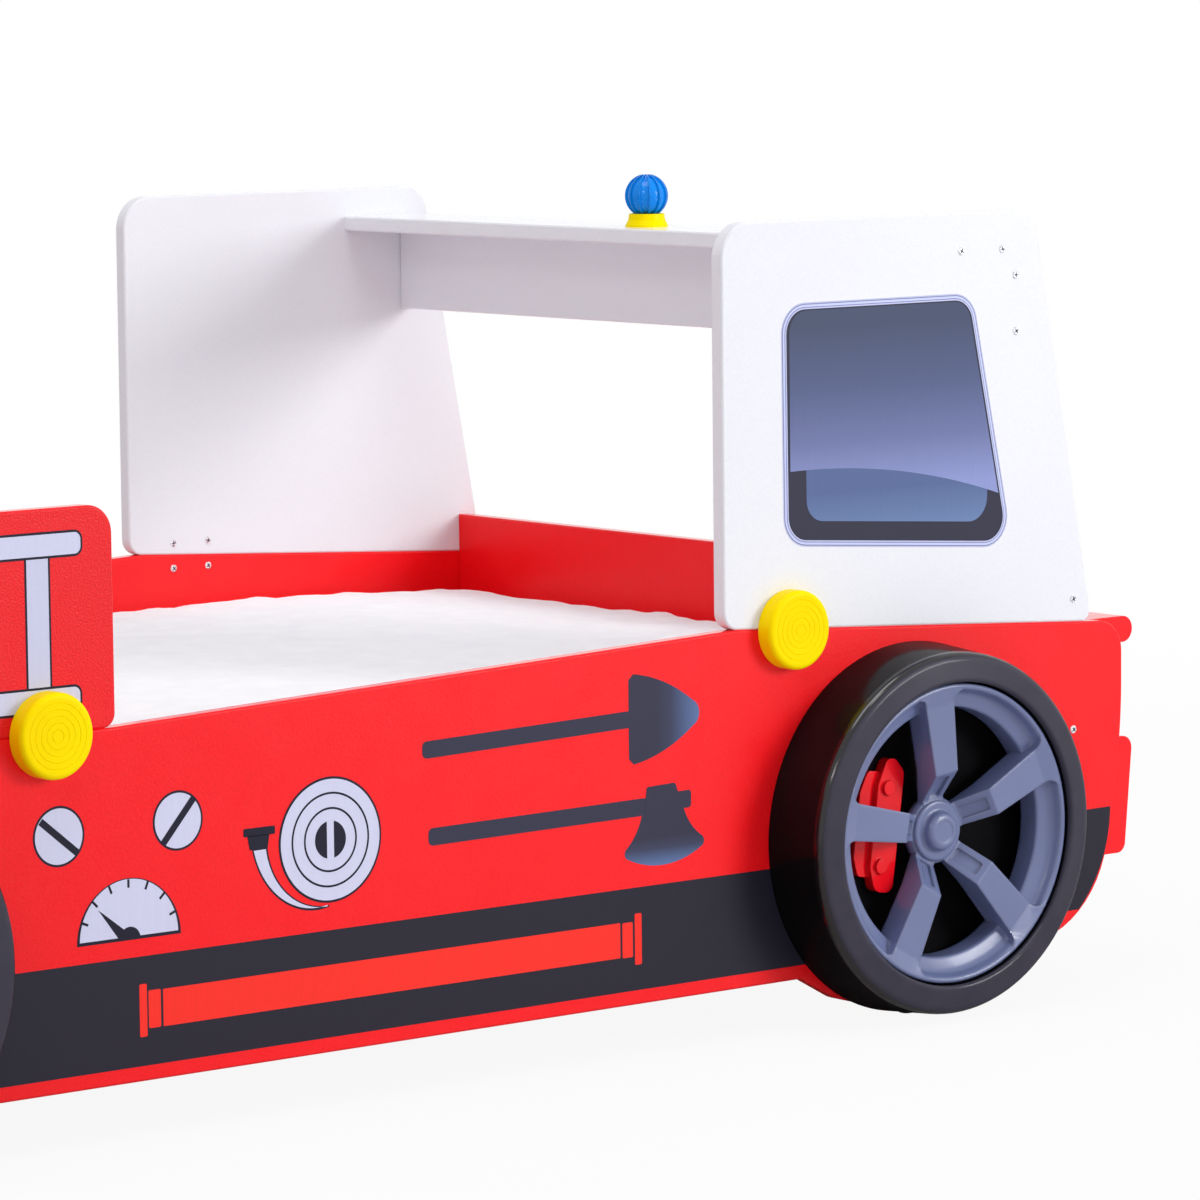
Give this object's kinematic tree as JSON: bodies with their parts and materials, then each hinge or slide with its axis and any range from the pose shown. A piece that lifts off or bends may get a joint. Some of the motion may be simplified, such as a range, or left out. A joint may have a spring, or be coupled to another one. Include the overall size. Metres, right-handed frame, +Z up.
{
  "type": "child's single bed",
  "caption": "Child's single bed in the form of a fire engine, with a mattress, a slatted base, moulded wheel covers, a cab with a roof shelf, a bumper and a beacon.",
  "frame": {"origin": "middle of the bed on the floor", "axes": "+X points from the tail to the nose, +Y to the bed's left side, +Z up"},
  "size_m": [2.0543, 1.089, 0.761],
  "materials": {
    "red_board": "satin paint on board",
    "white_board": "satin paint on board",
    "pine": "planed and bare",
    "yellow_plastic": "gloss",
    "blue_plastic": "gloss",
    "tyre_plastic": "matte",
    "rim_plastic": "satin",
    "caliper_plastic": "satin",
    "glide_plastic": "matte",
    "steel": "zinc plated",
    "mattress_fabric": "quilted"
  },
  "bodies": {
    "bed_frame": {"side_panel_right": "red_board", "side_panel_left": "red_board", "cab_panel_right": "white_board", "cab_panel_left": "white_board", "guard_panel_right": "red_board", "guard_panel_left": "red_board", "front_board": "red_board", "rear_board": "red_board", "roof_shelf": "white_board", "roof_apron": "white_board", "hood_ledge": "red_board", "fascia_board": "red_board", "bumper": "red_board", "nose_cleat_right": "pine", "nose_cleat_left": "pine", "beacon_base": "yellow_plastic", "beacon_ball": "blue_plastic", "cab_disc_right": "yellow_plastic", "cab_disc_left": "yellow_plastic", "guard_disc_right": "yellow_plastic", "guard_disc_left": "yellow_plastic", "front_right_tyre": "tyre_plastic", "front_right_rim": "rim_plastic", "front_right_caliper": "caliper_plastic", "front_left_tyre": "tyre_plastic", "front_left_rim": "rim_plastic", "front_left_caliper": "caliper_plastic", "rear_right_tyre": "tyre_plastic", "rear_right_rim": "rim_plastic", "rear_right_caliper": "caliper_plastic", "rear_left_tyre": "tyre_plastic", "rear_left_rim": "rim_plastic", "rear_left_caliper": "caliper_plastic", "slat_rail_right": "pine", "slat_rail_left": "pine", "centre_beam": "pine", "beam_bracket_front": "steel", "beam_bracket_rear": "steel", "centre_leg_front": "pine", "centre_leg_middle": "pine", "centre_leg_rear": "pine", "slat_01": "pine", "slat_02": "pine", "slat_03": "pine", "slat_04": "pine", "slat_05": "pine", "slat_06": "pine", "slat_07": "pine", "slat_08": "pine", "slat_09": "pine", "slat_10": "pine", "slat_11": "pine", "slat_12": "pine", "floor_glides": "glide_plastic", "board_screws": "steel", "disc_screws": "steel", "wheel_screws": "steel", "rail_screws": "steel", "slat_screws": "steel"},
    "mattress": {"mattress": "mattress_fabric"}
  },
  "joints": [
    {"name": "mattress_lift", "type": "slide", "parent": "bed_frame", "child": "mattress", "axis": [0, 0, 1], "range_m": [0, 0.28]}
  ]
}
